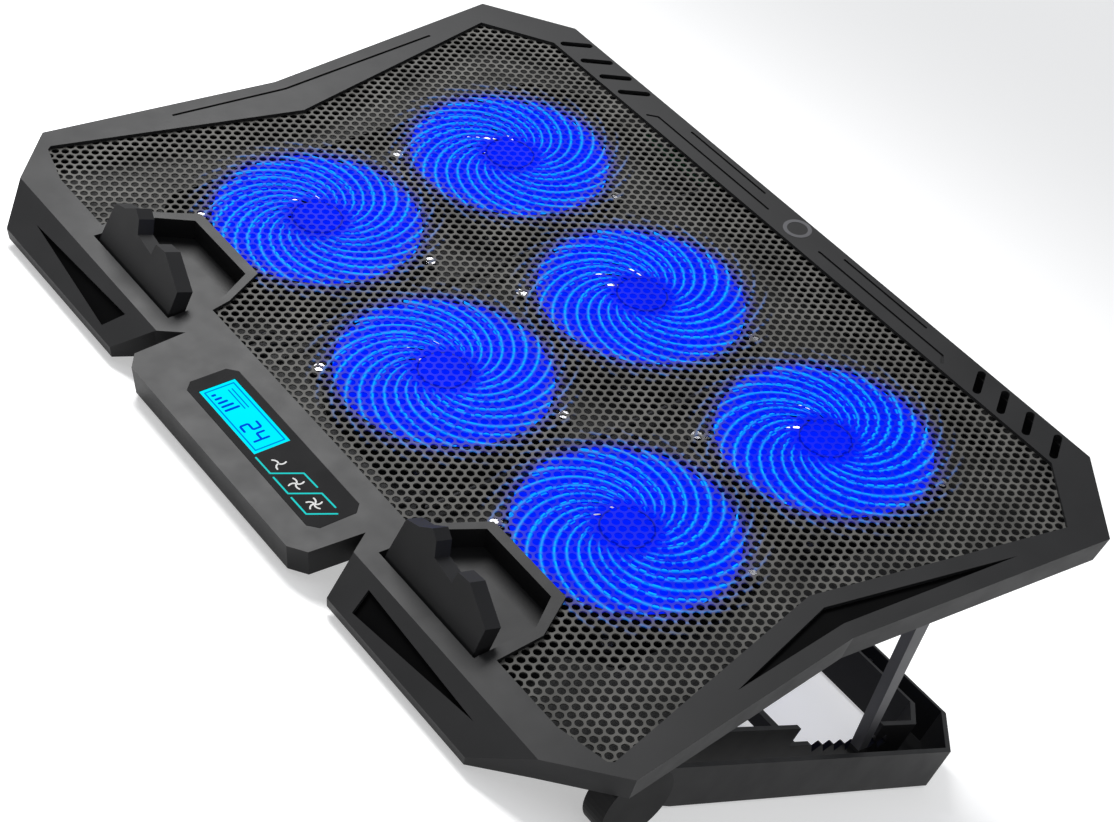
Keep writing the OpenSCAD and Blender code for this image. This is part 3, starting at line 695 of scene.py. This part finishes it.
round_array = ring_tree()
hub_profile = [(0, ROTOR_TOP), (9.3, ROTOR_TOP), (10.4, ROTOR_TOP - 0.35), (HUB_R, ROTOR_TOP - 1.2),
               (HUB_R, -15.0), (9.7, -15.0), (9.7, ROTOR_TOP - 1.6), (0, ROTOR_TOP - 1.6)]
shapes = {"blades": (blade_object(False), blade_blue), "beads": (blade_object(True), bead_blue)}
for k, spot in enumerate(fan_spots, 1):
    place = DECK @ Matrix.Translation((spot.x, spot.y, 0))
    made = []
    for part, (shape, material) in shapes.items():
        name = "fan_%d_%s" % (k, part)
        mesh = grow(name, round_array, {"Shape": shape, "Count": BLADES, "Material": material}, material)
        made.append((name, mesh, material))
    made.append(("fan_%d_hub" % k, turned("fan_%d_hub" % k, hub_profile), hub_blue))
    for name, mesh, material in made:
        mesh.transform(place)
        map_to_fans(mesh, [spot])
        rotor = piece(name, mesh, material, "fan_%d" % k)
        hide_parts("fan_rotor_%d" % k)
for shape, material in shapes.values():
    bpy.data.objects.remove(shape)

# ---- Finish of the other carried-over pieces ----
# Steel pins, screws and shafts are turned and bare; the boards have a green solder mask; the
# feet, pads and tips are black rubber; the fan frames are black plastic.


def dress(material, *names):
    for name in names:
        data = nodes[name].data
        data.materials.clear()
        data.materials.append(material)


bare_steel = grained("bare_steel", (0.55, 0.55, 0.57), 0.3, 500, 0.00001, 0.06, 1.0)
bush_brass = grained("bush_brass", (0.62, 0.42, 0.16), 0.36, 700, 0.00001, 0.08, 1.0)
rubber = grained("rubber", (0.014, 0.014, 0.014), 0.7, 1800, 0.00004, 0.2)
solder_mask = grained("solder_mask", (0.01, 0.11, 0.045), 0.3, 600, 0.00001, 0.25)
frame_plastic = grained("frame_plastic", (0.012, 0.012, 0.013), 0.5)
gloss_black = grained("gloss_black", (0.004, 0.004, 0.0045), 0.3, 300, 0.000002, 0.1, gloss=0.01)
recess_black = grained("recess_black", (0.0015, 0.0015, 0.0016), 0.35, 900, 0.00001, 0.1, gloss=0.02)
satin_trim = grained("satin_trim", (0.075, 0.075, 0.08), 0.35, 800, 0.00001, 0.08, 0.3)
stop_plastic = grained("stop_plastic", (0.012, 0.012, 0.0125), 0.5, 1300, gloss=0.12)
lamp_lens = grained("lamp_lens", (0.3, 0.5, 1.0), 0.2, 400, 0.00001, 0.05)
wire_jacket = grained("wire_jacket", (0.02, 0.02, 0.022), 0.45, 700, 0.00001, 0.1)

dress(bare_steel, "cover_screws", "fan_screws", "hinge_pins", "stop_pins", "prop_rod", "usb_sockets",
      *[n for n in nodes if n.startswith("fan_shaft_")])
dress(bush_brass, *[n for n in nodes if n.startswith("fan_bearing_")])
dress(frame_plastic, *[n for n in nodes if n.startswith("fan_frame_")])
dress(solder_mask, "touch_board", "control_board", "usb_board")
dress(rubber, "front_feet", "stand_pads", "prop_tips")
dress(recess_black, "side_inlay", "facet_inlays")
dress(gloss_black, "display_plate")
dress(satin_trim, "back_badge")
dress(lamp_lens, "fan_leds")
dress(wire_jacket, "fan_wires", "usb_wires")
for side, body in (("left", "stop_l"), ("right", "stop_r")):
    made = softened("stop_" + side, "laptop_stop_" + side, stop_plastic, body, 0.45, 2.5)
legs = softened("prop_legs", "prop_leg_bars", satin_trim, "prop", 0.35, 2.5)

# ---- Display and touch keys ----
# A lit liquid-crystal window under a gloss black plate. Its marks are a frame line, two rules,
# a row of speed bars and a number; three touch keys beside it are printed white and teal.
PANEL_Z = 0.1
GLASS_Z = -0.1
LCD = (-30.6, 8.8, -27.0, -11.1)


def glow_material(name, colour, power, spread=0.0):
    material, tree, shader = new_material(name)
    shader.inputs["Base Color"].default_value = (*[c * 0.1 for c in colour], 1)
    shader.inputs["Roughness"].default_value = 0.4
    shader.inputs["Specular IOR Level"].default_value = 0.0
    shader.inputs["Emission Color"].default_value = (*colour, 1)
    drift = math_node(tree, "MULTIPLY_ADD", noise(tree, object_space(tree), 40, 1), spread,
                      power - spread / 2)
    link(tree, drift, shader.inputs["Emission Strength"])
    return material


lcd_cyan = glow_material("lcd_cyan", (0.0, 0.80, 0.96), 0.97, 0.1)
lcd_line = glow_material("lcd_line", (0.0, 0.25, 0.72), 0.9)
lcd_ink = glow_material("lcd_ink", (0.0, 0.06, 0.70), 0.9)
key_white = glow_material("key_white", (0.85, 0.85, 0.85), 0.8)
key_teal = glow_material("key_teal", (0.02, 0.62, 0.6), 0.9)
dress(lcd_cyan, "lcd_module")


def strokes(name, lines, width, z, thickness, material):
    """Printed marks: each line is a chain of points, drawn as joined flat bars with round ends."""
    bm = bmesh.new()
    for chain in lines:
        for a, b in zip(chain, chain[1:]):
            a, b = Vector(a), Vector(b)
            along = math.atan2(b.y - a.y, b.x - a.x)
            rim = [b + Vector((math.cos(along + t), math.sin(along + t))) * width / 2
                   for t in np.linspace(-math.pi / 2, math.pi / 2, 5)]
            rim += [a + Vector((math.cos(along + t), math.sin(along + t))) * width / 2
                    for t in np.linspace(math.pi / 2, 3 * math.pi / 2, 5)]
            top = [bm.verts.new((p.x, p.y, z + thickness)) for p in rim]
            low = [bm.verts.new((p.x, p.y, z)) for p in rim]
            bm.faces.new(top)
            bm.faces.new(list(reversed(low)))
            for k in range(len(rim)):
                n = (k + 1) % len(rim)
                bm.faces.new((low[k], low[n], top[n], top[k]))
    mesh = bpy.data.meshes.new(name)
    bm.to_mesh(mesh)
    bm.free()
    mesh.transform(DECK)
    made = piece(name, mesh, material)
    return made


def box_line(x0, x1, y0, y1):
    return [(x0, y0), (x1, y0), (x1, y1), (x0, y1), (x0, y0)]


SEGMENTS = {"2": "abged", "4": "fgbc"}


def digit(figure, x, y, w, h):
    """The lit bars of a seven-segment figure."""
    g = 0.35
    bars = {"a": [(x + g, y + h), (x + w - g, y + h)], "b": [(x + w, y + h - g), (x + w, y + h / 2 + g)],
            "c": [(x + w, y + h / 2 - g), (x + w, y + g)], "d": [(x + g, y), (x + w - g, y)],
            "e": [(x, y + h / 2 - g), (x, y + g)], "f": [(x, y + h - g), (x, y + h / 2 + g)],
            "g": [(x + g, y + h / 2), (x + w - g, y + h / 2)]}
    return [bars[b] for b in SEGMENTS[figure]]


x0, x1, y0, y1 = LCD
strokes("display_frame_line", [box_line(x0 + 1.7, x1 - 1.7, y0 + 1.6, y1 - 1.6)], 0.6, GLASS_Z, 0.06,
        lcd_line)
speed_bars = [[(-26.2 + 2.4 * k, -23.6), (-26.2 + 2.4 * k, -22.6 + 1.15 * k)] for k in range(5)]
rules = [[(-26.2, y), (-14.5, y)] for y in (-15.0, -16.6)]
strokes("display_bars", speed_bars, 1.1, GLASS_Z, 0.05, lcd_ink)
strokes("display_rules", rules, 0.55, GLASS_Z, 0.05, lcd_line)
strokes("display_number", digit("2", -6.6, -23.6, 3.6, 7.0) + digit("4", -0.6, -23.6, 3.6, 7.0), 0.95,
        GLASS_Z, 0.05, lcd_ink)

KEY_X = 17.4
KEY_Y = -21.9
KEY_STEP = 12.1
KEYS = 3


def fan_sign(x, y, size, blades):
    """A small sign of a fan: a hub and its curved blades."""
    lines = []
    for k in range(blades):
        a = math.tau * k / blades + 0.5
        lines.append([(x + size * t * math.cos(a + 0.9 * t), y + size * t * math.sin(a + 0.9 * t))
                      for t in (0.15, 0.45, 0.75, 1.0)])
    return lines


signs = []
key_lines = []
for k in range(KEYS):
    x = KEY_X + k * KEY_STEP
    signs += fan_sign(x, KEY_Y, 3.0, 3 + k)
    key_lines.append([(x - 6.8, -27.4), (x + 2.9, -27.3), (x + 8.8, -16.5), (x + 17.3, -16.2)])
key_lines[-1] = [*key_lines[-1][:2], (KEY_X + 2 * KEY_STEP + 8.3, -17.4)]
# The key marks are print given a painted glow: their materials emit light.
strokes("key_signs", signs, 0.65, PANEL_Z, 0.05, key_white)
strokes("key_lines", key_lines, 0.7, PANEL_Z, 0.05, key_teal)
